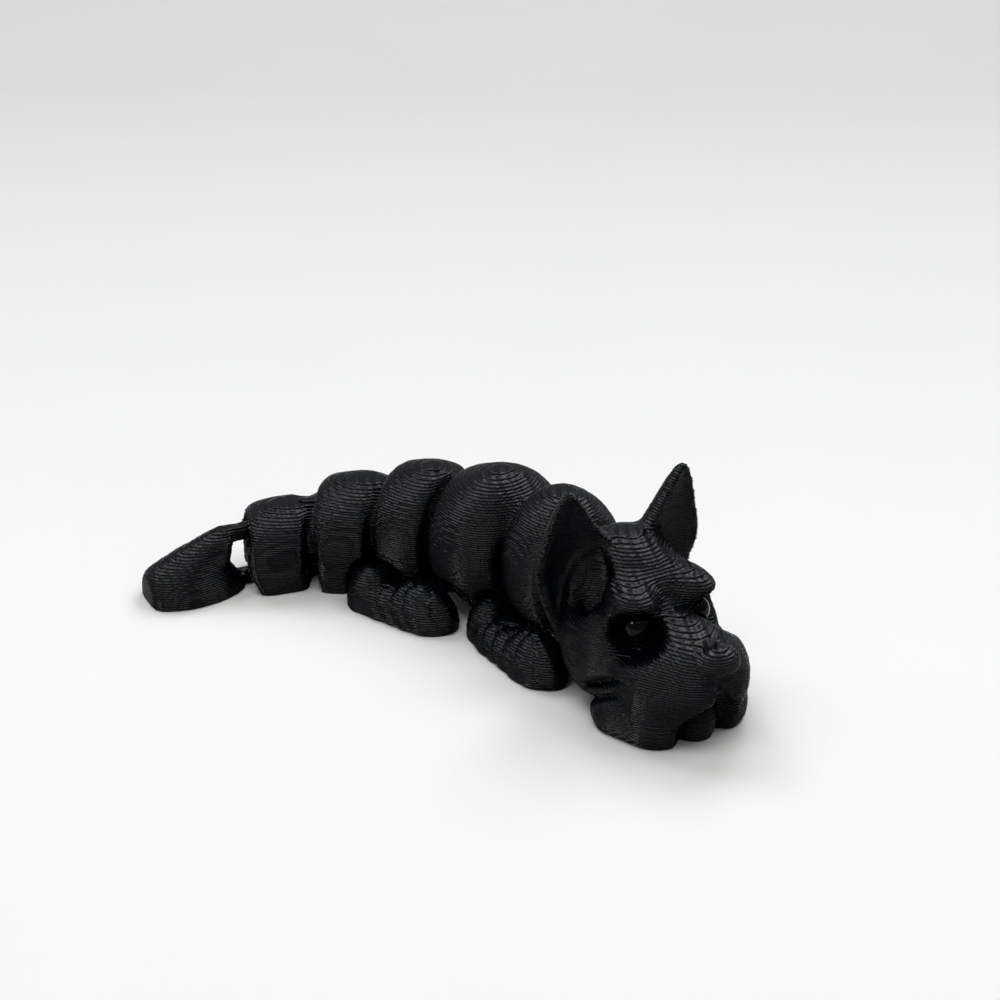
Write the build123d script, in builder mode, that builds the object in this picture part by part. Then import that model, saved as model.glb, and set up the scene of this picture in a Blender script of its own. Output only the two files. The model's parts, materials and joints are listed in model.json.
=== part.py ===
"""Jointed pocket dog, printed flat on its belly with its links already captive.

Seven spine links and four legs, each turning about an upright pin. Every pin stands in a
D-shaped loop on one piece, and a flat eye on its neighbour goes round it. Each link's
rear is an arched hood over the nose of the link behind it.

Frame: millimetres, +Z up, +X towards the front of the chest, +Y to the dog's left.
The origin is in the flat of the belly, midway between the chest's two pins.
"""
from build123d import *
import os
from math import cos, radians, sin

os.makedirs("parts", exist_ok=True)

# ---- spine: pin to pin lengths, hoods and resting bends --------------------------------
CHEST_LENGTH = 8.6
NECK_LENGTH = 7.4
WAIST_LENGTH = 8.0
HIP_LENGTH = 7.0
TAIL_ROOT_LENGTH = 6.8

# hood radius and height over each rear pin
HEAD_HOOD = (4.8, 12.8)
NECK_HOOD = (5.3, 13.9)
CHEST_HOOD = (6.3, 13.0)
WAIST_HOOD = (5.7, 11.8)
HIP_HOOD = (5.3, 10.3)
TAIL_HOOD = (4.4, 8.6)

# resting bend at each spine pin, in degrees, positive where the front link turns right
NECK_BEND = 16
HEAD_BEND = -1
WAIST_BEND = 15.5
HIP_BEND = 16
TAIL_ROOT_BEND = 22.5
TAIL_BEND = 16
SWING = 28              # each spine pin turns this far either side of straight

# ---- shells ----------------------------------------------------------------------------
WALL = 1.1              # hood thickness
GAP = 0.35              # printed clearance between links
FOOT_WIDTH = 2.5        # half width of the flat that each link prints on
FOOT_HEIGHT = 2.8       # height where the sides start to flare
FLARE = 0.9             # rise of the flare for each millimetre outwards
RIM = 2.2               # how far a hood reaches behind its pin
RELIEF_FLOOR = 3.4      # the hood in front swings above this height
MID_DOME = (0.68, 0.94, 0.97)   # second dome: place along a link, share of radius and height
SHOULDER = (0.74, 0.22)         # a dome's shoulder: share of radius out, share of it down
HOLLOW_DEPTH = 0.8      # a hollow's dome starts this share of its radius below its top

# ---- spine pins ------------------------------------------------------------------------
PIN_RADIUS = 0.8
LOOP_HEIGHT = 5.9
LOOP_ARM = 1.3
LOOP_HALF_WIDTH = 0.9
EYE_RADIUS = 2.1
EYE_HOLE = 1.15
EYE_BOTTOM = 2.0
EYE_TOP = 3.9
SLOT_RADIUS = 2.45
POCKET_RADIUS = 1.3

# ---- legs ------------------------------------------------------------------------------
LEG_PIN_RADIUS = 0.6
LEG_EYE_RADIUS = 1.45
LEG_EYE_HOLE = 0.9
LEG_EYE_BOTTOM = 1.2
LEG_EYE_TOP = 2.5
LEG_SLOT_RADIUS = 1.75
LEG_SLOT_BOTTOM = 0.9
LEG_SLOT_TOP = 2.8
LEG_WEB = 1.5
LEG_WEB_SHIFT = -0.4
PAW_RADIUS = 2.1
PAW_HEIGHT = 3.4
PAW_ROUNDING = 1.2
LEG_PIN_INSET = (-0.4, 0.8)     # the pin, behind and inside the thigh's middle
HIND_THIGH = (-1.7, 5.7)        # thigh's middle, behind the front pin and out to the side
HIND_THIGH_RADIUS = 2.45
HIND_THIGH_HEIGHT = 4.1
HIND_SPLAY = 25
HIND_REACH = 7.7
FORE_THIGH = (-2.5, 5.1)
FORE_THIGH_RADIUS = 2.2
FORE_THIGH_HEIGHT = 4.0
FORE_SPLAY = 15
FORE_REACH = 9.6

# ---- tail tip --------------------------------------------------------------------------
TAIL_NECK = 4.0
# behind the pin, half width, height
TAIL_SECTIONS = ((TAIL_NECK - 0.2, 1.2, LOOP_HEIGHT), (7.5, 2.3, 4.7), (12.2, 2.4, 3.0))
TAIL_ROUNDING = 0.9

# ---- head ------------------------------------------------------------------------------
SKULL_X = 5.4
SKULL_RADIUS = 6.2
SKULL_HEIGHT = 15.2
SKULL_FOOT = 4.4
# in front of the pin, half width, half height, height of the middle
SNOUT_SECTIONS = ((6.0, 5.2, 5.2, 5.4), (11.5, 5.2, 4.9, 5.2), (16.5, 4.2, 3.9, 5.9),
                  (18.6, 2.6, 2.4, 7.2))
JOWL = (12.3, 3.1, 3.7)
JOWL_RADIUS = 3.7
EAR_BASE = (4.2, 4.2, 11.0)
EAR_TIP = (4.0, 5.7, 19.2)
EAR_BASE_SIZE = (1.7, 2.1)
EAR_TIP_SIZE = (0.35, 0.5)
BROW = (9.0, 3.0, 8.8)
BROW_RADIUS = 2.4
EYE_PLACE = (9.9, 3.5, 8.8)
EYE_BEAD = 1.4

TALL = 30               # taller than anything, for through cuts
WIDE = 12               # wider than anything


def turned(place, heading, along, across=0.0):
    """A point given in a link's own directions, in the model's frame."""
    c = cos(radians(heading))
    s = sin(radians(heading))
    return (place[0] + along * c - across * s, place[1] + along * s + across * c)


def link_plane(place, heading, height=0.0):
    """Upright plane frame at a pin: x forward along the link, z up."""
    c = cos(radians(heading))
    s = sin(radians(heading))
    return Plane(origin=(place[0], place[1], height), x_dir=(c, s, 0), z_dir=(0, 0, 1))


def upright(place, heading):
    """Plane whose x is the link's forward direction and whose y is the model's +Z."""
    c = cos(radians(heading))
    s = sin(radians(heading))
    return Plane(origin=(place[0], place[1], 0), x_dir=(c, s, 0), z_dir=(s, -c, 0))


# pins of the spine, worked out from the chest outwards
chest_front = (CHEST_LENGTH / 2, 0.0)
chest_rear = (-CHEST_LENGTH / 2, 0.0)
neck_heading = -NECK_BEND
neck_front = turned(chest_front, neck_heading, NECK_LENGTH)
head_heading = neck_heading - HEAD_BEND
waist_heading = WAIST_BEND
waist_rear = turned(chest_rear, waist_heading, -WAIST_LENGTH)
hip_heading = waist_heading + HIP_BEND
hip_rear = turned(waist_rear, hip_heading, -HIP_LENGTH)
tail_root_heading = hip_heading + TAIL_ROOT_BEND
tail_root_rear = turned(hip_rear, tail_root_heading, -TAIL_ROOT_LENGTH)
tail_heading = tail_root_heading + TAIL_BEND


def crosswise(place, heading, along, height):
    """Plane across a link at a distance from its pin: x to the left, y upwards."""
    c = cos(radians(heading))
    s = sin(radians(heading))
    spot = turned(place, heading, along)
    return Plane(origin=(spot[0], spot[1], height), x_dir=(-s, c, 0), z_dir=(c, s, 0))


def dome(place, heading, radius, height, foot):
    """Round dome on a narrow foot, flaring to its radius, closed over at its height."""
    flare_top = FOOT_HEIGHT + (radius - foot) * FLARE
    with BuildSketch(upright(place, heading)) as profile:
        with BuildLine():
            Polyline((0, height), (0, 0), (foot, 0), (foot, FOOT_HEIGHT), (radius, flare_top))
            Spline((radius, flare_top), (radius * SHOULDER[0], height - radius * SHOULDER[1]),
                   (0, height), tangents=((0, 1), (-1, 0)))
        make_face()
    with BuildPart() as solid:
        add(profile.sketch)
        revolve(axis=Axis((place[0], place[1], 0), (0, 0, 1)))
    return solid.part


def hollow(place, heading, radius, height):
    """Space under a hood, behind the pin's plane: a round dome open at the bottom and rear."""
    with BuildSketch(upright(place, heading)) as profile:
        with BuildLine():
            Polyline((0, height), (0, -1), (radius, -1), (radius, height - radius * HOLLOW_DEPTH))
            Spline((radius, height - radius * HOLLOW_DEPTH),
                   (radius * SHOULDER[0], height - radius * SHOULDER[1]), (0, height),
                   tangents=((0, 1), (-1, 0)))
        make_face()
    with BuildPart() as space:
        add(profile.sketch)
        revolve(axis=Axis((place[0], place[1], 0), (0, 0, 1)))
        with BuildSketch(link_plane(place, heading, -1)):
            with Locations((WIDE / 2, 0)):
                Rectangle(WIDE, 2 * WIDE)
        extrude(amount=TALL, mode=Mode.SUBTRACT)
    return space.part


def chevron(place, heading, setback, bottom=-1.0):
    """Everything behind a pin that stays behind `setback` over the whole swing."""
    c = cos(radians(SWING))
    s = sin(radians(SWING))
    side = (-setback - WIDE * s) / c
    with BuildPart() as block:
        with BuildSketch(link_plane(place, heading, bottom)):
            with BuildLine():
                Polyline((-setback / c, 0), (side, WIDE), (-2 * WIDE, WIDE),
                         (-2 * WIDE, -WIDE), (side, -WIDE), (-setback / c, 0))
            make_face()
        extrude(amount=TALL)
    return block.part


def relief(place, heading, hood):
    """Room for the hood in front to swing: a drum round the pin, without the chevron."""
    with BuildPart() as drum:
        with BuildSketch(link_plane(place, heading, RELIEF_FLOOR)):
            Circle(hood[0] + GAP)
        extrude(amount=TALL)
        add(chevron(place, heading, RIM + GAP), mode=Mode.SUBTRACT)
    return drum.part


def nose(place, heading, hood):
    """Front of a link, round about its pin and hidden under the hood in front of it."""
    radius = hood[0] - WALL - GAP
    height = hood[1] - WALL - GAP
    with BuildPart() as front:
        add(dome(place, heading, radius, height, FOOT_WIDTH))
        add(chevron(place, heading, GAP), mode=Mode.INTERSECT)
    return front.part


def slot(place, heading):
    """Space inside a loop, where the eye of the link in front turns."""
    with BuildPart() as space:
        with BuildSketch(link_plane(place, heading, LOOP_ARM)):
            Circle(SLOT_RADIUS)
        extrude(amount=LOOP_HEIGHT - 2 * LOOP_ARM)
    return space.part


def loop(place, heading):
    """Two arms and the upright pin between them."""
    with BuildPart() as ring:
        with BuildSketch(link_plane(place, heading)):
            with Locations((-TAIL_NECK / 2, 0)):
                Rectangle(TAIL_NECK, 2 * LOOP_HALF_WIDTH)
            Circle(LOOP_HALF_WIDTH)
        extrude(amount=LOOP_ARM)
        with BuildSketch(link_plane(place, heading, LOOP_HEIGHT - LOOP_ARM)):
            with Locations((-TAIL_NECK / 2, 0)):
                Rectangle(TAIL_NECK, 2 * LOOP_HALF_WIDTH)
            Circle(LOOP_HALF_WIDTH)
        extrude(amount=LOOP_ARM)
        with BuildSketch(link_plane(place, heading)):
            Circle(PIN_RADIUS)
        extrude(amount=LOOP_HEIGHT)
    return ring.part


def pocket(place, heading):
    """Round well for the front of the loop behind."""
    with BuildPart() as well:
        with BuildSketch(link_plane(place, heading, -1)):
            Circle(POCKET_RADIUS)
        extrude(amount=LOOP_HEIGHT + 1 + GAP)
    return well.part


def eye(place, heading, hole=False):
    """Flat eye round a pin, or its hole."""
    with BuildPart() as ring:
        with BuildSketch(link_plane(place, heading, EYE_BOTTOM)):
            Circle(EYE_HOLE if hole else EYE_RADIUS)
        extrude(amount=EYE_TOP - EYE_BOTTOM)
    return ring.part


def behind(place, heading, distance):
    """Everything further back than a hood's rim."""
    with BuildPart() as block:
        with BuildSketch(link_plane(place, heading, -1)):
            with Locations((-distance - WIDE, 0)):
                Rectangle(2 * WIDE, 3 * WIDE)
        extrude(amount=TALL)
    return block.part


def leg_pin(place, heading, thigh, splay, side):
    """Where a leg's pin stands, from its thigh's middle."""
    middle = turned(place, heading, thigh[0], side * thigh[1])
    along, inward = LEG_PIN_INSET
    return turned(middle, heading + side * splay, along, -side * inward)


def leg_eye(place, heading, thigh, splay, side):
    """Flat eye on a short web out of a link's side, for a leg's pin."""
    centre = leg_pin(place, heading, thigh, splay, side)
    with BuildPart() as ring:
        with BuildSketch(link_plane(centre, heading, LEG_EYE_BOTTOM)):
            Circle(LEG_EYE_RADIUS)
            with Locations((LEG_WEB_SHIFT, -side * thigh[1] / 4)):
                Rectangle(LEG_WEB, thigh[1] / 2)
            Circle(LEG_EYE_HOLE, mode=Mode.SUBTRACT)
        extrude(amount=LEG_EYE_TOP - LEG_EYE_BOTTOM)
    return ring.part


def spine_link(name, front, heading, length, hood, ahead, thigh=None, splay=0):
    """One link: hood at its rear pin, nose and loop at its front pin, feet between."""
    rear = turned(front, heading, -length)
    middle = turned(front, heading, -length * MID_DOME[0])
    with BuildPart() as link:
        add(dome(rear, heading, hood[0], hood[1], FOOT_WIDTH))
        add(dome(middle, heading, hood[0] * MID_DOME[1], hood[1] * MID_DOME[2], FOOT_WIDTH))
        with BuildSketch(link_plane(front, heading)):
            with Locations((-length / 2, 0)):
                Rectangle(length, 2 * FOOT_WIDTH)
        extrude(amount=LOOP_HEIGHT)
        add(relief(front, heading, ahead), mode=Mode.SUBTRACT)
        add(chevron(front, heading, GAP), mode=Mode.INTERSECT)
        add(nose(front, heading, ahead))
        add(slot(front, heading), mode=Mode.SUBTRACT)
        add(hollow(rear, heading, hood[0] - WALL, hood[1] - WALL), mode=Mode.SUBTRACT)
        add(behind(rear, heading, RIM), mode=Mode.SUBTRACT)
        add(pocket(rear, heading), mode=Mode.SUBTRACT)
        add(loop(front, heading))
        add(eye(rear, heading))
        add(eye(rear, heading, hole=True), mode=Mode.SUBTRACT)
        if thigh:
            add(leg_eye(front, heading, thigh, splay, 1))
            add(leg_eye(front, heading, thigh, splay, -1))
    link.part.label = name
    export_step(link.part, f"parts/{name}.step")


def leg(name, front, heading, thigh, radius, height, splay, reach, side):
    """A leg lying flat: round thigh, straight shank and round paw, turning on its own pin."""
    way = heading + side * splay
    pin = leg_pin(front, heading, thigh, splay, side)
    middle = turned(front, heading, thigh[0], side * thigh[1])
    with BuildPart() as limb:
        with BuildSketch(link_plane(middle, way)):
            Circle(radius)
            with Locations((reach, 0)):
                Circle(PAW_RADIUS)
            make_hull()
        extrude(amount=PAW_HEIGHT)
        fillet(limb.faces().sort_by(Axis.Z)[-1].edges(), radius=PAW_ROUNDING)
        with BuildSketch(upright(middle, way)):
            with BuildLine():
                Polyline((0, height), (0, 0), (radius, 0), (radius, height / 2))
                Spline((radius, height / 2), (0, height), tangents=((0, 1), (-1, 0)))
            make_face()
        revolve(axis=Axis((middle[0], middle[1], 0), (0, 0, 1)))
        with BuildSketch(link_plane(pin, way, LEG_SLOT_BOTTOM)):
            Circle(LEG_SLOT_RADIUS)
            with Locations((0, -side * radius)):
                Rectangle(2 * LEG_SLOT_RADIUS, 2 * radius)
        extrude(amount=LEG_SLOT_TOP - LEG_SLOT_BOTTOM, mode=Mode.SUBTRACT)
        with BuildSketch(link_plane(pin, way)):
            Circle(LEG_PIN_RADIUS)
        extrude(amount=PAW_HEIGHT)
    limb.part.label = name
    export_step(limb.part, f"parts/{name}.step")


spine_link("neck", neck_front, neck_heading, NECK_LENGTH, NECK_HOOD, HEAD_HOOD)
spine_link("chest", chest_front, 0, CHEST_LENGTH, CHEST_HOOD, NECK_HOOD,
           FORE_THIGH, FORE_SPLAY)
spine_link("waist", chest_rear, waist_heading, WAIST_LENGTH, WAIST_HOOD, CHEST_HOOD)
spine_link("hip", waist_rear, hip_heading, HIP_LENGTH, HIP_HOOD, WAIST_HOOD,
           HIND_THIGH, HIND_SPLAY)
spine_link("tail_root", hip_rear, tail_root_heading, TAIL_ROOT_LENGTH,
           TAIL_HOOD, HIP_HOOD)

for side, word in ((1, "left"), (-1, "right")):
    leg(f"front_{word}_leg", chest_front, 0, FORE_THIGH, FORE_THIGH_RADIUS,
        FORE_THIGH_HEIGHT, FORE_SPLAY, FORE_REACH, side)
    leg(f"hind_{word}_leg", waist_rear, hip_heading, HIND_THIGH, HIND_THIGH_RADIUS,
        HIND_THIGH_HEIGHT, HIND_SPLAY, HIND_REACH, side)

# ---- tail tip: the bare loop in front, a low tapering wedge behind -------------------------
with BuildPart() as tail_tip:
    for back, half_width, top in TAIL_SECTIONS:
        with BuildSketch(crosswise(tail_root_rear, tail_heading, -back, top / 2)):
            RectangleRounded(2 * half_width, top, TAIL_ROUNDING)
    loft()
    add(loop(tail_root_rear, tail_heading))
tail_tip.part.label = "tail_tip"
export_step(tail_tip.part, "parts/tail_tip.step")

# ---- head: hood over the neck, skull, snout, jowls and two pricked ears ---------------------
skull = turned(neck_front, head_heading, SKULL_X)
with BuildPart() as head:
    add(dome(neck_front, head_heading, HEAD_HOOD[0], HEAD_HOOD[1], FOOT_WIDTH))
    add(dome(skull, head_heading, SKULL_RADIUS, SKULL_HEIGHT, SKULL_FOOT))
    for along, width, height, centre in SNOUT_SECTIONS:
        with BuildSketch(crosswise(neck_front, head_heading, along, centre)):
            Ellipse(width, height)
    loft()
    for side in (1, -1):
        cheek = turned(neck_front, head_heading, JOWL[0], side * JOWL[1])
        with Locations((cheek[0], cheek[1], JOWL[2])):
            Sphere(JOWL_RADIUS)
        for point, size in ((EAR_BASE, EAR_BASE_SIZE), (EAR_TIP, EAR_TIP_SIZE)):
            spot = turned(neck_front, head_heading, point[0], side * point[1])
            with BuildSketch(link_plane(spot, head_heading, point[2])):
                Ellipse(*size)
        loft()
        brow = turned(neck_front, head_heading, BROW[0], side * BROW[1])
        with Locations((brow[0], brow[1], BROW[2])):
            Sphere(BROW_RADIUS)
    for side in (1, -1):
        socket = turned(neck_front, head_heading, EYE_PLACE[0], side * EYE_PLACE[1])
        with Locations((socket[0], socket[1], EYE_PLACE[2])):
            Sphere(EYE_BEAD, rotation=(90, 0, head_heading), mode=Mode.SUBTRACT)
    add(hollow(neck_front, head_heading, HEAD_HOOD[0] - WALL, HEAD_HOOD[1] - WALL),
        mode=Mode.SUBTRACT)
    add(behind(neck_front, head_heading, RIM), mode=Mode.SUBTRACT)
    add(pocket(neck_front, head_heading), mode=Mode.SUBTRACT)
    split(bisect_by=Plane.XY, keep=Keep.TOP)
    add(eye(neck_front, head_heading))
    add(eye(neck_front, head_heading, hole=True), mode=Mode.SUBTRACT)
head.part.label = "head"
export_step(head.part, "parts/head.step")

for side, word in ((1, "left"), (-1, "right")):
    spot = turned(neck_front, head_heading, EYE_PLACE[0], side * EYE_PLACE[1])
    with BuildPart() as bead:
        with Locations((spot[0], spot[1], EYE_PLACE[2])):
            Sphere(EYE_BEAD, rotation=(90, 0, head_heading))
    bead.part.label = f"{word}_eye"
    export_step(bead.part, f"parts/{word}_eye.step")
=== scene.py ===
"""Looks of the jointed pocket dog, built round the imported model.

Every printed piece is sculpted as a distance field in its own link's directions, in
millimetres, and then cut into the layers that a desktop printer lays down. x runs forward
along the link from its front pin, y to the dog's left and z up from the table.
"""
import json
import math

import bpy
import numpy as np
import openvdb
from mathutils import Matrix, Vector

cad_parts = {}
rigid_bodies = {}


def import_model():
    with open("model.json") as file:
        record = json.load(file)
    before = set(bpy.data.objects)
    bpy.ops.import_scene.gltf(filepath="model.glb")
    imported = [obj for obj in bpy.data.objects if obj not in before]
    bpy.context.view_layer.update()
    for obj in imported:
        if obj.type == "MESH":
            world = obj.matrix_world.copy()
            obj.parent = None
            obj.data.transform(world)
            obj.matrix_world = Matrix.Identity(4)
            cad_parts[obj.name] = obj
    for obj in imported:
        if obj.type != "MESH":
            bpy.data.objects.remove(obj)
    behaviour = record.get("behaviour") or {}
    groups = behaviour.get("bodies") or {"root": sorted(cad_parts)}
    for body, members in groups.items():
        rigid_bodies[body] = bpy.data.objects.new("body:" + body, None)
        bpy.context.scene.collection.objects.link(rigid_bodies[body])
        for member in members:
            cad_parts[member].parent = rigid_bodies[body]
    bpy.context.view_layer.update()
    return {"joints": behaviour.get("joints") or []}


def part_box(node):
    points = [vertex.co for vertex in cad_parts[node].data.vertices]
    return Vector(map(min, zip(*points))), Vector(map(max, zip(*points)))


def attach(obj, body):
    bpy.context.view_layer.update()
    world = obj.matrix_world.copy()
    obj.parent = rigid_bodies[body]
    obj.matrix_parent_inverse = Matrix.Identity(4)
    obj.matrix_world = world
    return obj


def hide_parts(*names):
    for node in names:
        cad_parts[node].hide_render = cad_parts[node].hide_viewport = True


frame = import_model()

MM = 0.001
LAYER = 0.20            # printed layer height
SLICES = 3              # field samples in each layer
BEAD = 0.24             # how far a layer's edges fall back from its middle
FLAT_BEAD = 0.75        # share of that which a level surface loses
CELL = 0.28             # field sample spacing in plan
WANDER = 0.009          # how unevenly one layer sits on the next
RIPPLE = 0.008          # how unevenly a layer runs along itself
WAVES = (1.3, 2.4)      # lengths of the ripples
FIELD_LIMIT = 2.0       # distances are clipped to this
GAP = 0.35              # printed clearance between links
WALL = 0.9              # of a hood
SWING_STEPS = 5         # positions tried over a joint's range
RANDOM = np.random.default_rng(11)

PINS = {j["name"]: np.array(j["pos_m"][:2]) / MM for j in frame["joints"]}
HEAD_BEND = -1.0        # resting bends that no second pin shows, in degrees
TAIL_BEND = 16.0


def heading_between(rear, front):
    """Direction of a link, from its rear pin to its front pin, in radians."""
    way = PINS[front] - PINS[rear]
    return math.atan2(way[1], way[0])


HEADINGS = {
    "neck": heading_between("neck_turn", "head_turn"),
    "chest": heading_between("waist_turn", "neck_turn"),
    "waist": heading_between("hip_turn", "waist_turn"),
    "hip": heading_between("tail_root_turn", "hip_turn"),
    "tail_root": heading_between("tail_tip_turn", "tail_root_turn"),
}
HEADINGS["head"] = HEADINGS["neck"] - math.radians(HEAD_BEND)
HEADINGS["tail_tip"] = HEADINGS["tail_root"] + math.radians(TAIL_BEND)

FRONT_PIN = {"neck": "head_turn", "chest": "neck_turn", "waist": "waist_turn",
             "hip": "hip_turn", "tail_root": "tail_root_turn", "tail_tip": "tail_tip_turn",
             "head": "head_turn"}
BEHIND = {"head": "neck", "neck": "chest", "chest": "waist", "waist": "hip",
          "hip": "tail_root", "tail_root": "tail_tip"}


def widest_swing(ahead):
    """Largest bend either way between a link and the one behind it, in radians."""
    behind = BEHIND[ahead]
    joint = next(j for j in frame["joints"] if j["name"] == FRONT_PIN[behind])
    sign = 1.0 if joint["child"] == ahead else -1.0
    rest = HEADINGS[ahead] - HEADINGS[behind]
    return max(abs(rest + sign * math.radians(v)) for v in joint["range_deg"])


LENGTH = {
    "neck": np.linalg.norm(PINS["head_turn"] - PINS["neck_turn"]),
    "chest": np.linalg.norm(PINS["neck_turn"] - PINS["waist_turn"]),
    "waist": np.linalg.norm(PINS["waist_turn"] - PINS["hip_turn"]),
    "hip": np.linalg.norm(PINS["hip_turn"] - PINS["tail_root_turn"]),
    "tail_root": np.linalg.norm(PINS["tail_root_turn"] - PINS["tail_tip_turn"]),
}


# ---- distance fields --------------------------------------------------------------------
# p is an array of points, and every field is negative inside its shape
def ellipsoid(p, centre, radii):
    """Rough signed distance to an ellipsoid, true near its surface."""
    q = (p - np.array(centre)) / np.array(radii)
    k = np.sqrt((q ** 2).sum(-1))
    g = np.sqrt(((q / np.array(radii)) ** 2).sum(-1)) + 1e-9
    return k * (k - 1.0) / g


def capsule(p, a, b, ra, rb):
    """Tapered rod with round ends."""
    a = np.array(a, float)
    ab = np.array(b, float) - a
    t = np.clip(((p - a) @ ab) / (ab @ ab), 0.0, 1.0)
    return np.linalg.norm(p - (a + t[..., None] * ab), axis=-1) - (ra + (rb - ra) * t)


def block(p, low, high, rounding=0.3):
    """Box between two corners, with rounded edges."""
    low = np.array(low, float)
    high = np.array(high, float)
    q = np.abs(p - (low + high) / 2) - (high - low) / 2 + rounding
    outside = np.sqrt((np.maximum(q, 0.0) ** 2).sum(-1))
    return outside + np.minimum(q.max(-1), 0.0) - rounding


def drum(p, x, y, radius, low=-50.0, high=50.0):
    """Upright cylinder."""
    side = np.hypot(p[..., 0] - x, p[..., 1] - y) - radius
    ends = np.maximum(low - p[..., 2], p[..., 2] - high)
    return np.maximum(side, ends)


def join(a, b, k=0.6):
    """Union with a smooth fillet of size k."""
    h = np.maximum(k - np.abs(a - b), 0.0) / k
    return np.minimum(a, b) - h * h * k * 0.25


def keep(a, b, k=0.3):
    """Intersection with a rounded edge."""
    return -join(-a, -b, k)


def cut(a, b, k=0.3):
    """a without b, with a rounded edge."""
    return -join(-a, b, k)


def fade(value, start, over):
    """0 up to `start`, then rising to 1 over the distance `over`."""
    return np.clip((value - start) / over, 0.0, 1.0)


def arch(p, x, radii, height, middle, foot_z):
    """Arch at full width at its middle height, closed over above and drawn in below."""
    q = p - np.array((x, 0.0, middle))
    up = ellipsoid(q, (0, 0, 0), (*radii, height - middle))
    down = ellipsoid(q, (0, 0, 0), (*radii, middle - foot_z))
    return np.where(q[..., 2] > 0, up, down)


def hood_shape(p, x, radius, height, middle, foot_z):
    """Round arch over a pin."""
    return arch(p, x, (radius, radius), height, middle, foot_z)


def turned(q, angle):
    """The same points in directions turned by `angle`."""
    c, s = math.cos(angle), math.sin(angle)
    return np.stack((q[..., 0] * c + q[..., 1] * s, q[..., 1] * c - q[..., 0] * s, q[..., 2]), -1)


# ---- spine links ------------------------------------------------------------------------
AHEAD = {"neck": "head", "chest": "neck", "waist": "chest", "hip": "waist",
         "tail_root": "hip", "tail_tip": "tail_root"}

# hood radius and height over each link's rear pin
HOODS = {"head": (4.8, 12.8), "neck": (5.3, 13.9), "chest": (6.3, 12.8),
         "waist": (5.7, 11.5), "hip": (5.3, 9.4), "tail_root": (4.4, 7.2)}
HOOD_MIDDLE = 0.52      # height of a hood's full width, as a share of its own
HOOD_FOOT = {"head": 0.6, "neck": 0.6, "chest": 0.6, "waist": 0.4, "hip": -8.0, "tail_root": -8.0}
# how far behind the pin a hood's rim lies, and how it curves forward across and upward
RIMS = {"head": 2.2, "neck": 2.2, "chest": 3.3, "waist": 2.1, "hip": 2.0, "tail_root": 2.5}
RIM_CURVE = (0.040, 0.020)
TAIL_RIM_CURVE = (0.025, 0.080)
RIM_SLOPE = 0.9         # brings a sheared distance back to a true one
# how high a hood's inside is domed, as a share of its radius
INNER_RISE = {"head": 0.8, "neck": 0.8, "chest": 0.8, "waist": 0.8, "hip": 0.8, "tail_root": 0.42}

# outer arch of each link: ahead of the rear pin, length radius, half width, top, middle, foot
ARCHES = {"neck": (2.2, 4.6, 5.2, 13.9, 7.2, 0.4),
          "chest": (2.2, 5.0, 6.5, 13.6, 7.0, 0.2),
          "waist": (2.8, 4.8, 5.6, 12.2, 7.0, -1.2),
          "hip": (3.0, 5.0, 5.2, 10.1, 5.6, -3.0),
          "tail_root": (3.4, 5.0, 4.4, 7.7, 4.6, -3.0)}

PIN_RADIUS = 0.8        # of the hook's upright pin
LOOP_HEIGHT = 5.9       # of the hook
LOOP_ARM = 1.3          # thickness of its two arms
LOOP_HALF = 0.9         # half their width
LOOP_REACH = 3.4        # how far back they run
TAIL_LOOP_REACH = 4.0
EYE_RADIUS = 2.1        # of the ring that the pin stands in
EYE_HOLE = 1.15
EYE_Z = (2.0, 3.9)      # underside and top
SLOT_RADIUS = 2.45      # of the room that the ring turns in
POCKET_RADIUS = 1.3     # of the room round the hook's end
FOOT_HALF = 2.5         # half the width of a link's foot
FOOT_TOP = 4.2          # up to here the nose is as narrow as the foot
NOSE_RISE = 0.8         # how high the nose is domed, as a share of its radius
WIDE = 9                # wider than any link


def rim_curve(q, name):
    """How far forward of its pin a hood's rim lies, at each side and height."""
    middle = HOODS[name][1] / 2
    across, upward = TAIL_RIM_CURVE if name == "tail_root" else RIM_CURVE
    return across * q[..., 1] ** 2 + upward * (q[..., 2] - middle) ** 2 - RIMS[name]


def ahead_of_rim(p, name, swing):
    """Positive wherever a hood's rim comes within the gap of a point over the whole swing."""
    worst = None
    for turn in np.linspace(-swing, swing, SWING_STEPS):
        q = turned(p, -turn)
        reach = q[..., 0] - rim_curve(q, name) + GAP
        worst = reach if worst is None else np.maximum(worst, reach)
    return worst * RIM_SLOPE


def loop(p, reach=LOOP_REACH):
    """The hook at a link's front: an upright pin between two arms."""
    length = block(p, (-reach, -WIDE, 0), (LOOP_HALF, WIDE, LOOP_HEIGHT))
    arms = keep(np.abs(p[..., 1]) - LOOP_HALF, length, 0.4)
    arms = np.maximum(arms, np.where(p[..., 0] > 0, drum(p, 0, 0, LOOP_HALF), -WIDE))
    between = np.maximum(LOOP_ARM - p[..., 2], p[..., 2] - LOOP_HEIGHT + LOOP_ARM)
    pin = drum(p, 0, 0, PIN_RADIUS, 0, LOOP_HEIGHT)
    return np.minimum(cut(arms, between, 0.3), pin)


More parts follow.
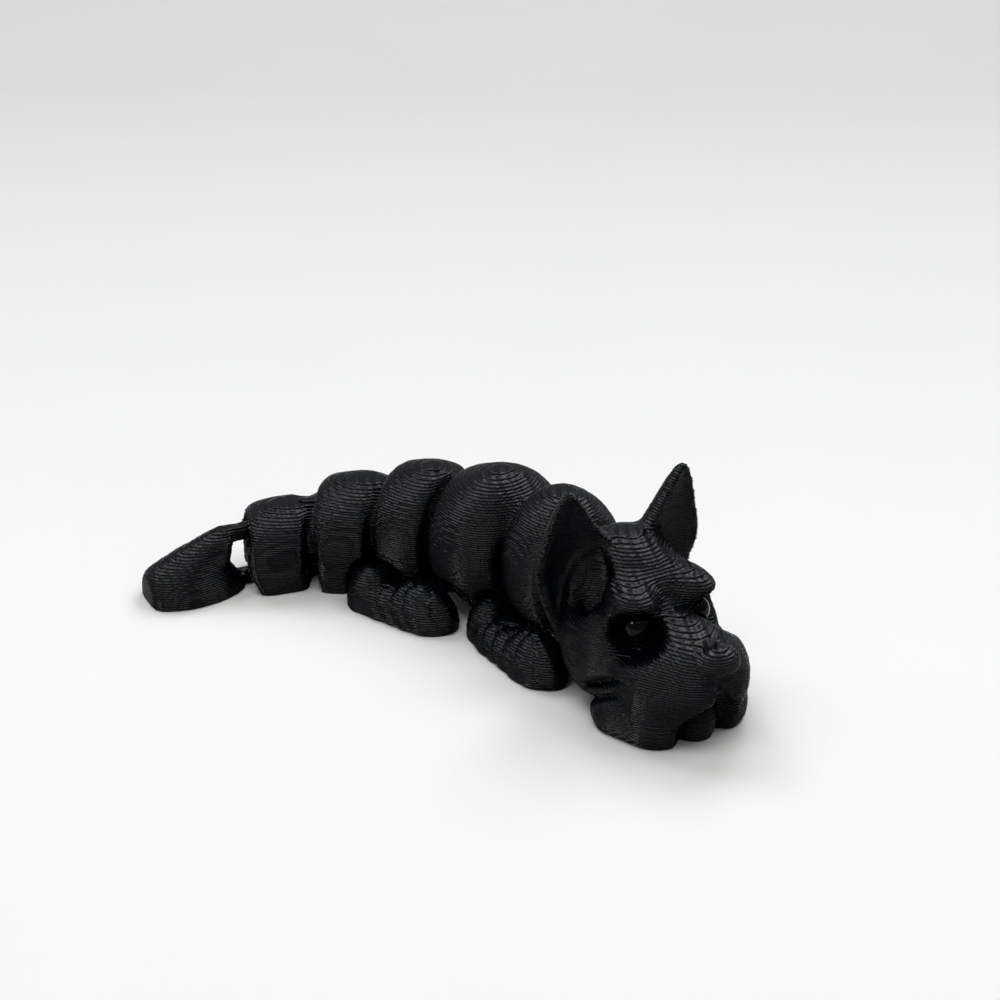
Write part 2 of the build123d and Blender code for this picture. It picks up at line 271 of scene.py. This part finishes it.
def rear_socket(p, body, x, name):
    """Hollows a link's rear for the nose behind it, and leaves the eye for its pin."""
    q = p - np.array((x, 0.0, 0.0))
    radius, height = HOODS[name][0] - WALL, HOODS[name][1] - WALL
    dome = hood_shape(q, 0.0, radius, height, height - radius * INNER_RISE[name], -40.0)
    under = np.maximum(dome, q[..., 0])
    body = cut(body, under, 0.25)
    body = keep(body, (rim_curve(q, name) - q[..., 0]) * RIM_SLOPE, 0.9)
    body = cut(body, drum(q, 0, 0, POCKET_RADIUS, -5, LOOP_HEIGHT + GAP), 0.2)
    eye = drum(q, 0, 0, EYE_RADIUS, *EYE_Z)
    body = join(body, eye, 0.3)
    return cut(body, drum(q, 0, 0, EYE_HOLE, -1, LOOP_HEIGHT), 0.2)


def front_nose(p, body, ahead, swing):
    """Draws a link in to the round nose and the hook that go under the hood in front."""
    radius = HOODS[ahead][0] - WALL - GAP
    height = HOODS[ahead][1] - WALL - GAP
    body = keep(body, ahead_of_rim(p, ahead, swing), 0.7)
    nose = hood_shape(p, 0.0, radius, height, height - radius * NOSE_RISE, 0.6)
    low = np.maximum(np.abs(p[..., 1]) - FOOT_HALF - 0.5, p[..., 2] - FOOT_TOP)
    nose = np.where(p[..., 2] < FOOT_TOP, np.maximum(nose, low), nose)
    flank = p[..., 0] * math.cos(swing) + np.abs(p[..., 1]) * math.sin(swing) + GAP
    nose = keep(nose, flank, 0.3)
    body = join(body, nose, 1.0)
    body = cut(body, drum(p, 0, 0, SLOT_RADIUS, LOOP_ARM, LOOP_HEIGHT - LOOP_ARM), 0.2)
    return np.minimum(body, loop(p))


def spine_link(name):
    """Field of one arched link."""
    ahead, along, half, top, middle, foot_z = ARCHES[name]
    length = LENGTH[name]
    radius, height = HOODS[name]
    swing = widest_swing(AHEAD[name])

    def field(p):
        body = arch(p, -length + ahead, (along, half), top, middle, foot_z)
        shell = hood_shape(p, -length, radius, height, height * HOOD_MIDDLE, HOOD_FOOT[name])
        body = join(body, shell, 1.5)
        foot = block(p, (-length - 0.2, -FOOT_HALF, -1.0), (-GAP, FOOT_HALF, LOOP_HEIGHT), 0.4)
        body = join(body, foot, 1.0)
        body = front_nose(p, body, AHEAD[name], swing)
        body = clear_of_legs(p, rear_socket(p, body, -length, name), name)
        return leg_eyes(p, body, name)

    return field


# ---- room for the legs ------------------------------------------------------------------
LEG_JOINTS = [j for j in frame["joints"] if j["child"].endswith("_leg")]
LINKS_BEFORE_LEGS = {"neck", "chest", "waist"}
LEG_SPLAY = {"hind": 25.0, "front": 15.0}       # from its link's direction, in degrees
LEG_GAP = 0.25
LEG_LAYERS = 27         # enough to pass the tallest leg
LEG_RING = 1.45         # radius of the ring that a leg's pin stands in
LEG_RING_HOLE = 0.9
LEG_RING_Z = (1.2, 2.5)
LEG_WEB_HALF = 0.75     # half the width of the web that holds the ring
LEG_WEB_SHIFT = -0.4    # and how far it lies from the ring's middle


def leg_pin(joint):
    """Where a leg's pin stands, from its link's front pin and in the link's directions."""
    way = PINS[joint["name"]] - PINS[FRONT_PIN[joint["parent"]]]
    return turned(np.array((way[0], way[1], 0.0)), HEADINGS[joint["parent"]])


def seen_from_behind(p, name, value):
    """The same points in the directions of the link behind, with the joint between at `value`."""
    behind = BEHIND[name]
    joint = next(j for j in frame["joints"] if j["name"] == FRONT_PIN[behind])
    sign = -1.0 if joint["child"] == name else 1.0
    turn = HEADINGS[behind] - HEADINGS[name] + sign * math.radians(value)
    return turned(p + np.array((LENGTH[name], 0.0, 0.0)), turn)


def clear_of_legs(p, body, name):
    """Hollows a link wherever a leg may come, over the ranges of the joints between them."""
    low = p[:, :, :LEG_LAYERS]
    reach = None
    for joint in LEG_JOINTS:
        link, views = name, [low]
        while link != joint["parent"] and link in LINKS_BEFORE_LEGS:
            between = next(j for j in frame["joints"] if j["name"] == FRONT_PIN[BEHIND[link]])
            least, most = between["range_deg"]
            views = [seen_from_behind(v, link, bend) for v in views for bend in (least, 0.0, most)]
            link = BEHIND[link]
        if link != joint["parent"]:
            continue
        kind, word = joint["child"].split("_")[:2]
        side = 1 if word == "left" else -1
        least, most = joint["range_deg"]
        for view in views:
            for swing in (least, (least + most) / 2, most):
                q = turned(view - leg_pin(joint), side * math.radians(LEG_SPLAY[kind] + swing))
                shape = leg_shape(q * np.array((1.0, -side, 1.0)), kind)
                reach = shape if reach is None else np.minimum(reach, shape)
    if reach is not None:
        body[:, :, :LEG_LAYERS] = cut(body[:, :, :LEG_LAYERS], reach - LEG_GAP, 0.3)
    return body


def leg_eyes(p, body, name):
    """Adds the ring that each leg's pin stands in, on a web from the body."""
    for joint in LEG_JOINTS:
        if joint["parent"] != name:
            continue
        x, y = leg_pin(joint)[:2]
        low, high = LEG_RING_Z
        web = block(p, (x + LEG_WEB_SHIFT - LEG_WEB_HALF, min(0.0, y), low),
                    (x + LEG_WEB_SHIFT + LEG_WEB_HALF, max(0.0, y), high), 0.15)
        web = cut(web, drum(p, 0, 0, SLOT_RADIUS, 0.0, LOOP_HEIGHT - LOOP_ARM), 0.1)
        body = np.minimum(body, np.minimum(drum(p, x, y, LEG_RING, low, high), web))
        body = cut(body, drum(p, x, y, LEG_RING_HOLE, low - GAP, high + GAP), 0.1)
    return body


# ---- tail tip ---------------------------------------------------------------------------
TAIL_RIDGE = (-4.6, 0, 3.9), (-10.8, 0, 1.4), 1.7, 1.5
TAIL_FLANK = (-7.8, 0, 0.4), (5.4, 3.4, 3.1)
TAIL_NECK = (-4.0, 0, 4.9), (-7.0, 0, 2.7), 1.0, 2.0
TAIL_BASE = (-3.4, 0, 0.2), (-8.0, 0, 0.7), 1.3, 2.8
TAIL_HOLE = (-2.6, -WIDE, 3.1), (-2.6, WIDE, 3.1), 1.15, 1.15
TAIL_END = -11.8


def tail_tip(p):
    """Low wedge with a soft ridge, squared off at its end."""
    body = join(capsule(p, *TAIL_RIDGE), ellipsoid(p, *TAIL_FLANK), 1.4)
    body = join(body, capsule(p, *TAIL_NECK), 1.2)
    body = join(body, capsule(p, *TAIL_BASE), 1.2)
    body = keep(body, TAIL_END - p[..., 0], 1.0)
    body = cut(body, capsule(p, *TAIL_HOLE), 0.4)
    body = keep(body, ahead_of_rim(p, "tail_root", widest_swing("tail_root")), 0.4)
    return np.minimum(body, loop(p, TAIL_LOOP_REACH))


# ---- head -------------------------------------------------------------------------------
# the left half is modelled, and the right half mirrors it
def folded(p):
    """The same points with the right half laid on the left."""
    return p * np.array((1.0, 0.0, 1.0)) + np.abs(p) * np.array((0.0, 1.0, 0.0))


EAR_ROOT = (3.0, 4.9)
EAR_TURN = 12.0         # in degrees, outwards
EAR_TOP = 19.2
EAR_MIDDLE = 13.0
EAR_WIDEST = 11.0       # height of its greatest width
EAR_FALL = 7.0          # and how far below that it runs out
EAR_LEAN = (0.13, 0.11)     # forward and outward, for each millimetre of height
EAR_HALF = 3.1
EAR_SWELLS = (0.16, 12.0, 2.2), (0.30, 13.6, 2.0)   # outer and inner edge: share, height, spread
EAR_TAPER = (1.5, 0.70)     # how its point is rounded
EAR_DEPTH = 1.5         # of its curl
EAR_EDGE = 0.2          # how far forward its edges lie
EAR_THICK = 0.95        # half its thickness at the middle
EAR_THINNER = 0.35      # by this at its point
EAR_THICKER = 0.35      # by this at its edges
EAR_NARROWEST = 0.3
EAR_SLOPE = 2.0         # steepest part of the curl that its thickness allows for
EAR_CUP = (2.0, -0.3, 11.4), (1.8, 2.3, 3.0)


def ear_frame(m):
    """Points as seen from the ear: towards its opening, across it and up."""
    c, s = math.cos(math.radians(EAR_TURN)), math.sin(math.radians(EAR_TURN))
    x, y, z = m[..., 0] - EAR_ROOT[0], m[..., 1] - EAR_ROOT[1], m[..., 2]
    return x * c + y * s, -x * s + y * c - EAR_LEAN[1] * (z - EAR_MIDDLE), z


def ear(m):
    """Tall pointed blade, curled forward along both edges."""
    face, side, z = ear_frame(m)
    outer, inner = (share * np.exp(-((z - height) / spread) ** 2)
                    for share, height, spread in EAR_SWELLS)
    side = side / (1 + np.where(side > 0, outer, inner))
    rise = fade(z, EAR_WIDEST, EAR_TOP - EAR_WIDEST)
    fall = fade(-z, -EAR_WIDEST, EAR_FALL)
    half = EAR_HALF * (1 - rise ** EAR_TAPER[0]) ** EAR_TAPER[1] * (1 - fall ** 2) ** 0.5
    broad = np.maximum(half, EAR_NARROWEST)
    rim = EAR_EDGE + EAR_LEAN[0] * (z - EAR_MIDDLE)
    depth = EAR_DEPTH * half / EAR_HALF
    curl = rim - depth * (1 - (side / broad) ** 2)
    slope = np.minimum(2 * depth * np.abs(side) / broad ** 2, EAR_SLOPE)
    near_edge = np.minimum(np.abs(side) / broad, 1.0) ** 3
    thick = EAR_THICK - EAR_THINNER * rise + EAR_THICKER * near_edge
    blade = (np.abs(face - curl) - thick) / np.sqrt(1 + slope ** 2)
    edge = (np.abs(side) - half) * 0.9
    return keep(keep(blade, edge, 0.9), z - EAR_TOP, 0.4) * 1.25


def ear_cup(m):
    """The hollow where the ear opens into the side of the head."""
    return ellipsoid(np.stack(ear_frame(m), -1), *EAR_CUP)


# forms of the head: centre and radii of a round one, ends and end radii of a long one
SKULL = (4.0, 0, 8.0), (6.2, 5.7, 6.5)
LOW_SKULL = (4.2, 0, 5.2), (5.6, 5.0, 5.6)
CHEEK = (6.2, 4.0, 5.4), (4.2, 2.9, 4.4)
BRIDGE = (8.6, 0, 6.6), (15.0, 0, 6.3), 3.6, 2.8
MUZZLE = (12.0, 0, 4.6), (5.4, 6.0, 5.0)
LIP = (9.9, 3.6, 1.6), (12.7, 2.8, 1.6), 3.25, 3.1
MUZZLE_FRONT = (14.8, 1.5, 5.6), (3.2, 2.4, 3.1)
BROW = (8.8, 2.9, 11.0), (2.5, 1.9, 1.1)
NOSE = (17.1, 0, 8.1), (1.5, 1.9, 1.3)
MOUTH = (17.0, 0, 0.6), (3.0, 3.1, 4.3)
CHIN = (14.0, 0, 1.7), (2.1, 2.0, 2.9)
NOSE_GROOVE = (18.6, 0, 7.3), (17.6, 0, 4.2), 0.4, 0.7
ORBIT = (9.7, 3.6, 8.7), (3.0, 1.9, 2.5)
SOCKET = (11.1, 4.0, 8.7), (2.4, 2.1, 1.8)
HEAD_HOOD_MIDDLE = 6.4

CREASES = (2.4, 3.8)    # heights of the creases of the cheek, at CREASE_X
CREASE_X = 8.5
CREASE_SLOPE = 0.50
CREASE_DEPTH = 0.6
CREASE_WIDTH = 0.36


def creases(p, m):
    """How deep the cheek is creased, fading at both ends and towards the middle."""
    reach = fade(-p[..., 0], -13.0, 3.0) * fade(p[..., 0], 6.4, 0.8) * fade(m[..., 1], 3.5, 2.0)
    depth = 0.0
    for height in CREASES:
        line = p[..., 2] - height - CREASE_SLOPE * (p[..., 0] - CREASE_X)
        depth = depth + CREASE_DEPTH * reach * np.exp(-(line / CREASE_WIDTH) ** 2)
    return depth


def head(p):
    """Skull, snout with hanging lips, brows, sockets and ears."""
    m = folded(p)
    body = join(ellipsoid(p, *SKULL), ellipsoid(p, *LOW_SKULL), 1.5)
    body = join(body, ellipsoid(m, *CHEEK), 1.5)
    body = join(body, capsule(p, *BRIDGE), 1.6)
    body = join(body, ellipsoid(p, *MUZZLE), 1.2)
    body = join(body, capsule(m, *LIP), 0.8)
    body = join(body, ellipsoid(m, *MUZZLE_FRONT), 1.0)
    body = join(body, ellipsoid(m, *BROW), 1.5)
    body = join(body, ellipsoid(p, *NOSE), 0.7)
    body = cut(body, ellipsoid(p, *MOUTH), 0.5)
    body = np.minimum(body, ellipsoid(p, *CHIN))
    body = cut(body, capsule(p, *NOSE_GROOVE), 0.4)
    body = join(body, ellipsoid(m, *ORBIT), 0.9)
    body = cut(body, ellipsoid(m, *SOCKET), 1.0)
    body = body + creases(p, m)
    body = cut(join(body, ear(m), 0.9), ear_cup(m), 0.7)
    radius, height = HOODS["head"]
    hood = hood_shape(p, 0.0, radius, height, HEAD_HOOD_MIDDLE, HOOD_FOOT["head"])
    return rear_socket(p, join(body, hood, 0.8), 0.0, "head")


# ---- legs -------------------------------------------------------------------------------
LEG_MIDDLE = (0.4, -0.8, 0.0)           # a leg's middle line at its thigh, from its pin
LEG_REACH = {"hind": 8.0, "front": 9.8}
THIGH = {"hind": (2.45, 4.1), "front": (2.2, 4.0)}      # radius and height
LEG_FLOOR = 0.8         # height of a leg's widest part
PAW_LONG = 3.8
PAW_HALF = 2.4
PAW_HEIGHT = 4.0
FOLD_SPACING = 1.5      # of the folds across a leg
FOLD_DEPTH = 0.20
FOLD_SWAY = 0.9
LEG_PIN_RADIUS = 0.6
LEG_PIN_TOP = 3.2
LEG_SLOT = (1.75, 0.9, 2.8)             # radius, underside and top of the room for the ring
LEG_SLOT_END = 6        # past the leg's inner side


def leg_shape(m, kind):
    """Outside of a leg lying flat: round thigh, shank and paw with folds across them."""
    reach = LEG_REACH[kind]
    radius, height = THIGH[kind]
    q = m - np.array(LEG_MIDDLE)
    thigh = ellipsoid(q, (-0.2, -0.3, LEG_FLOOR), (radius, radius, height - LEG_FLOOR))
    shank = capsule(q, (1.8, -0.8, LEG_FLOOR), (reach - 1.6, -0.6, LEG_FLOOR), 2.1, 2.2)
    inner = capsule(q, (2.6, 0.4, 1.2), (reach - 2.0, 0.3, 1.2), 1.6, 1.8)
    paw = ellipsoid(q, (reach - 2.3, -0.3, LEG_FLOOR),
                    (PAW_LONG, PAW_HALF, PAW_HEIGHT - LEG_FLOOR))
    body = join(join(join(thigh, paw, 0.4), shank, 0.6), inner, 0.6)
    sway = FOLD_SWAY * np.sin(0.9 * q[..., 0] + 1.3 * q[..., 1])
    across = 0.8 * q[..., 0] + 0.6 * q[..., 2] - 0.4 * q[..., 1]
    fold = np.maximum(np.sin(across * 2 * math.pi / FOLD_SPACING + sway), 0.0) ** 2
    along = fade(q[..., 0], 0.8, 1.2)       # no folds on the thigh
    return body + FOLD_DEPTH * along * fold


def leg(kind, side):
    """A leg with its upright pin, in the slot that its ring stands in."""
    def field(p):
        m = p * np.array((1.0, -side, 1.0))      # y inwards, towards the body
        body = leg_shape(m, kind)
        radius, low, high = LEG_SLOT
        slot = drum(m, 0, 0, radius, low, high)
        mouth = block(m, (-radius, 0, low), (radius, LEG_SLOT_END, high), 0.1)
        body = cut(body, np.minimum(slot, mouth), 0.15)
        return np.minimum(body, drum(m, 0, 0, LEG_PIN_RADIUS, 0, LEG_PIN_TOP))

    return field


# ---- from a field to a printed mesh -----------------------------------------------------
def largest_shell(verts, tris, quads):
    """Drops the specks that slicing leaves loose, and keeps the one big closed surface."""
    edges = np.concatenate((quads[:, 0:2], quads[:, 1:3], quads[:, 2:4],
                            tris[:, 0:2], tris[:, 1:3]))
    label = np.arange(len(verts))
    while True:
        ends = label[edges[:, 0]], label[edges[:, 1]]
        joined = label.copy()
        for end in ends:
            np.minimum.at(joined, end, np.minimum(*ends))
        joined = joined[joined]
        if (joined == label).all():
            break
        label = joined
    kept = label == np.bincount(label).argmax()
    order = np.cumsum(kept) - 1
    return verts[kept], order[tris[kept[tris[:, 0]]]], order[quads[kept[quads[:, 0]]]]


def sliced(values):
    """Splits each layer's field into slices, set back towards the layer's edges."""
    steps = (np.arange(SLICES) + 0.5) / SLICES - 0.5
    recess = BEAD * (2 * steps) ** 2
    level = np.clip(np.abs(np.gradient(values, LAYER, axis=2)), 0.0, 1.0)
    share = 1 - FLAT_BEAD * level ** 2
    values = (values[..., None] + share[..., None] * recess).reshape(*values.shape[:2], -1)
    return np.concatenate((np.abs(values[..., :1]), values), axis=2)      # closed underneath


def printed(name, field, place, heading, low, high):
    """Makes the mesh of a field as a printer lays it down, layer on layer."""
    xs = np.arange(low[0], high[0] + CELL, CELL)
    ys = np.arange(low[1], high[1] + CELL, CELL)
    count = int(math.ceil(high[2] / LAYER)) + 1
    zs = (np.arange(count) + 0.5) * LAYER
    points = np.stack(np.meshgrid(xs, ys, zs, indexing="ij"), -1)
    values = field(points)
    values = values + RANDOM.normal(0.0, WANDER, count)
    for wave in WAVES:
        turn, start = RANDOM.uniform(0.0, 2 * math.pi, (2, count))
        ripple = points[..., 0] * np.cos(turn) + points[..., 1] * np.sin(turn)
        values = values + RIPPLE * np.sin(ripple * 2 * math.pi / wave + start)
    values = np.clip(sliced(values), -FIELD_LIMIT, FIELD_LIMIT).astype(np.float32)
    grid = openvdb.FloatGrid(FIELD_LIMIT)
    grid.copyFromArray(values, tolerance=0.0)
    surface = grid.convertToPolygons(isovalue=0.0, adaptivity=0.0)
    verts, tris, quads = largest_shell(*surface)
    step = LAYER / SLICES
    verts = verts * np.array((CELL, CELL, step)) + np.array((xs[0], ys[0], -0.5 * step))
    c, s = math.cos(heading), math.sin(heading)
    verts = np.stack((place[0] + verts[:, 0] * c - verts[:, 1] * s,
                      place[1] + verts[:, 0] * s + verts[:, 1] * c,
                      np.maximum(verts[:, 2], 0.0)), -1) * MM
    mesh = bpy.data.meshes.new(name)
    mesh.from_pydata(verts.tolist(), [], quads.tolist() + tris.tolist())
    mesh.shade_smooth()
    piece = bpy.data.objects.new(name, mesh)
    bpy.context.scene.collection.objects.link(piece)
    return piece


def finish_piece(piece, body, node, material):
    """Hands a piece over to its body, in place of its CAD node."""
    piece.data.materials.append(material)
    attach(piece, body)
    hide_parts(node)


# ---- materials --------------------------------------------------------------------------
LAYER_RIDGE = 0.00006   # depths of the fine relief, in metres
STRAND_RIDGE = 0.00006
GRAIN = 0.00005


def new_material(name):
    """A material with its shader, and its object coordinates."""
    mat = bpy.data.materials.new(name)
    mat.use_nodes = True
    place = add(mat, "ShaderNodeTexCoord").outputs["Object"]
    return mat, mat.node_tree.nodes["Principled BSDF"], place


def set_inputs(mat, node, values):
    """Sets a node's inputs to constants, or joins them to other nodes' outputs."""
    for key, value in values.items():
        if isinstance(value, bpy.types.NodeSocket):
            mat.node_tree.links.new(value, node.inputs[key])
        else:
            node.inputs[key].default_value = value


def add(mat, kind, inputs=None, **settings):
    """A new node."""
    node = mat.node_tree.nodes.new(kind)
    for key, value in settings.items():
        setattr(node, key, value)
    set_inputs(mat, node, inputs or {})
    return node


def two_tones(mat, amount, first, second):
    """Colour between two tones, each given as its place on the ramp and its colour."""
    ramp = add(mat, "ShaderNodeValToRGB", {"Fac": amount})
    for element, (position, colour) in zip(ramp.color_ramp.elements, (first, second)):
        element.position = position
        element.color = colour
    return ramp.outputs["Color"]


def spread(mat, amount, low, high):
    """A number between low and high."""
    node = add(mat, "ShaderNodeMapRange", {"Value": amount, "To Min": low, "To Max": high})
    return node.outputs["Result"]


def upright(mat, vector):
    """The z of a vector."""
    return add(mat, "ShaderNodeSeparateXYZ", {"Vector": vector}).outputs["Z"]


def plastic():
    """Charcoal printed plastic: layer ridges, strands on flat tops, grain and uneven gloss."""
    mat, shader, place = new_material("printed_charcoal")
    patches = add(mat, "ShaderNodeTexNoise", {"Vector": place, "Scale": 260.0, "Detail": 3.0})
    patches = patches.outputs["Fac"]
    grain = add(mat, "ShaderNodeTexNoise", {"Vector": place, "Scale": 4200.0, "Detail": 3.0})
    strands = add(mat, "ShaderNodeTexWave", {
        "Vector": place, "Scale": 480.0, "Distortion": 1.6, "Detail": 2.0, "Detail Scale": 0.6,
    }, bands_direction="DIAGONAL")
    level = add(mat, "ShaderNodeMapRange", {
        "Value": upright(mat, add(mat, "ShaderNodeNewGeometry").outputs["Normal"]),
        "From Min": 0.70, "From Max": 0.95,
    })
    half_layer = LAYER * MM / 2
    layers = add(mat, "ShaderNodeMath", {0: upright(mat, place), 1: half_layer},
                 operation="PINGPONG")
    ridges = add(mat, "ShaderNodeMapRange", {
        "Value": layers.outputs["Value"], "From Max": half_layer,
    }, interpolation_type="SMOOTHSTEP")
    bump = add(mat, "ShaderNodeBump", {
        "Strength": level.outputs["Result"], "Distance": STRAND_RIDGE,
        "Height": strands.outputs["Fac"],
    })
    bump = add(mat, "ShaderNodeBump", {
        "Strength": 0.8, "Distance": LAYER_RIDGE,
        "Height": ridges.outputs["Result"], "Normal": bump.outputs["Normal"],
    })
    bump = add(mat, "ShaderNodeBump", {
        "Strength": 0.5, "Distance": GRAIN,
        "Height": grain.outputs["Fac"], "Normal": bump.outputs["Normal"],
    })
    set_inputs(mat, shader, {
        "Base Color": two_tones(mat, patches, (0.3, (0.0005, 0.0011, 0.0019, 1)),
                                (0.75, (0.0015, 0.0025, 0.0040, 1))),
        "Roughness": spread(mat, patches, 0.17, 0.32),
        "Normal": bump.outputs["Normal"],
        "Specular IOR Level": 0.15,
    })
    return mat


def bead_black():
    """Smooth glossy black of the eyes."""
    mat, shader, place = new_material("glossy_bead")
    film = add(mat, "ShaderNodeTexNoise", {"Vector": place, "Scale": 900.0})
    set_inputs(mat, shader, {
        "Base Color": (0.0006, 0.0006, 0.0008, 1),
        "Roughness": spread(mat, film.outputs["Fac"], 0.14, 0.20),
        "Specular IOR Level": 0.12,
    })
    return mat


def paper(toward_back):
    """Pale paper with faint fibres, and painted shade that darkens it slowly towards the back."""
    mat, shader, place = new_material("pale_paper")
    fibre = add(mat, "ShaderNodeTexNoise", {"Vector": place, "Scale": 40.0})
    tone = two_tones(mat, fibre.outputs["Fac"], (0.0, (0.90, 0.893, 0.875, 1)),
                     (1.0, (0.925, 0.92, 0.905, 1)))
    # painted shade: the paper's colour darkens towards the back, standing in for light that falls
    # off there
    far = add(mat, "ShaderNodeVectorMath", {0: place, 1: toward_back}, operation="DOT_PRODUCT")
    dim = add(mat, "ShaderNodeMapRange", {
        "Value": far.outputs["Value"], "From Min": PAPER_SHADE_RANGE[0], "From Max": PAPER_SHADE_RANGE[1],
        "To Min": 1.0, "To Max": PAPER_SHADE_DARKEST,
    })
    shade = add(mat, "ShaderNodeVectorMath", {0: tone, "Scale": dim.outputs["Result"]},
                operation="SCALE")
    set_inputs(mat, shader, {"Base Color": shade.outputs["Vector"], "Roughness": 0.9,
                             "Specular IOR Level": 0.0})
    return mat


# ---- the dog ----------------------------------------------------------------------------
charcoal = plastic()
glossy = bead_black()

head_piece = printed("printed_head", head, PINS["head_turn"], HEADINGS["head"],
                     (-3.5, -8.5, 0), (20.5, 8.5, 19.8))
finish_piece(head_piece, "head", "head", charcoal)

for link in ("neck", "chest", "waist", "hip", "tail_root"):
    top = ARCHES[link][3]
    piece = printed(f"printed_{link}", spine_link(link), PINS[FRONT_PIN[link]], HEADINGS[link],
                    (-LENGTH[link] - 5.0, -7.5, 0), (1.6, 7.5, top + 0.8))
    finish_piece(piece, link, link, charcoal)

piece = printed("printed_tail_tip", tail_tip, PINS["tail_tip_turn"], HEADINGS["tail_tip"],
                (-13.0, -3.4, 0), (1.6, 3.4, 6.6))
finish_piece(piece, "tail_tip", "tail_tip", charcoal)

for kind, link in (("front", "chest"), ("hind", "hip")):
    for side, word in ((1, "left"), (-1, "right")):
        node = f"{kind}_{word}_leg"
        way = HEADINGS[link] + side * math.radians(LEG_SPLAY[kind])
        piece = printed(f"printed_{node}", leg(kind, side), PINS[f"{node}_swing"], way,
                        (-3.4, -4.2, 0), (LEG_REACH[kind] + 3.6, 4.2, 4.6))
        finish_piece(piece, node, node, charcoal)

EYE_SHARE = 0.84        # a bead is a little smaller than its CAD ball
EYE_INSET = 0.55        # and lies this much deeper
for word in ("left", "right"):
    low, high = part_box(f"{word}_eye")
    middle = [(a + b) / 2 for a, b in zip(low, high)]
    inward = -1 if word == "left" else 1
    middle[0] -= math.sin(HEADINGS["head"]) * inward * EYE_INSET * MM
    middle[1] += math.cos(HEADINGS["head"]) * inward * EYE_INSET * MM
    radius = (high[2] - low[2]) / 2 * EYE_SHARE
    bpy.ops.mesh.primitive_uv_sphere_add(segments=64, ring_count=32, radius=radius,
                                         location=middle)
    bead = bpy.context.object
    bead.name = f"glossy_{word}_eye"
    bead.data.transform(bead.matrix_world)
    bead.matrix_world.identity()
    bead.location = (0, 0, 0)
    bead.data.shade_smooth()
    finish_piece(bead, "head", f"{word}_eye", glossy)


# ---- studio -----------------------------------------------------------------------------
CAMERA_AZIMUTH = 43.6       # from the chest's own direction, in degrees
CAMERA_HEIGHT = 25.0        # in degrees
CAMERA_DISTANCE = 0.220
CAMERA_LENS = 78.0
LOOK_AT = (-0.0178, 0.0162, 0.0)
FLOOR_SIZE = 3.0
PAPER_SHADE_RANGE = (-0.01, 0.19)  # where the painted shade on the paper starts, and where it is darkest
# darkest share of the paper's colour under the painted shade
PAPER_SHADE_DARKEST = 0.70
SKY = (0.95, 0.97, 1.0, 1)
SKY_STRENGTH = 0.24
SPARKLE_SIZE = 0.06         # a lamp smaller than this only makes glints
# turn from the camera, height, distance, size, power, colour
LIGHTS = (
    (-66.0, 42.0, 0.60, 0.055, 0.90, (1.0, 0.99, 0.97)),
    (-40.0, 70.0, 0.60, 0.26, 0.64, (1.0, 0.99, 0.97)),
    (20.0, 66.0, 0.60, 0.26, 0.44, (1.0, 1.0, 1.0)),
    (90.0, 58.0, 0.60, 0.26, 0.54, (1.0, 1.0, 1.0)),
    (160.0, 50.0, 0.65, 0.34, 1.40, (0.95, 0.98, 1.0)),
    (-140.0, 55.0, 0.65, 0.34, 1.25, (0.95, 0.98, 1.0)),
)


def aim(thing, target, azimuth, height, distance):
    """Stands a lamp or camera at a distance from its target, facing it."""
    flat = math.cos(height)
    way = np.array((math.sin(azimuth) * flat, -math.cos(azimuth) * flat, math.sin(height)))
    thing.location = np.array(target) + way * distance
    thing.rotation_euler = (math.pi / 2 - height, 0, azimuth)
    bpy.context.scene.collection.objects.link(thing)


def lay_floor(azimuth):
    """A sheet of paper under everything."""
    bpy.ops.mesh.primitive_plane_add(size=FLOOR_SIZE)
    floor = bpy.context.object
    floor.name = "pale_floor"
    floor.data.materials.append(paper((-math.sin(azimuth), math.cos(azimuth), 0.0)))


def light_up(azimuth):
    """A soft sky and the lamps."""
    world = bpy.data.worlds.new("soft_white")
    bpy.context.scene.world = world
    world.use_nodes = True
    sky = world.node_tree.nodes["Background"].inputs
    sky["Color"].default_value = SKY
    sky["Strength"].default_value = SKY_STRENGTH
    for turn, height, distance, size, power, colour in LIGHTS:
        lamp = bpy.data.lights.new("softbox", "AREA")
        lamp.shape = "DISK"
        lamp.size = size
        lamp.energy = power
        lamp.color = colour
        holder = bpy.data.objects.new("softbox", lamp)
        holder.visible_diffuse = size > SPARKLE_SIZE
        aim(holder, (0, 0, 0), azimuth + math.radians(turn), math.radians(height), distance)


def set_camera(azimuth):
    """The camera where the photographer stood."""
    camera = bpy.data.objects.new("camera", bpy.data.cameras.new("camera"))
    camera.data.sensor_width = 36.0
    camera.data.lens = CAMERA_LENS
    camera.data.clip_start = 0.01
    aim(camera, LOOK_AT, azimuth, math.radians(CAMERA_HEIGHT), CAMERA_DISTANCE)
    bpy.context.scene.camera = camera


camera_way = HEADINGS["chest"] + math.radians(CAMERA_AZIMUTH)
lay_floor(camera_way)
light_up(camera_way)
set_camera(camera_way)
bpy.context.scene.view_settings.view_transform = "Standard"

bpy.context.view_layer.update()
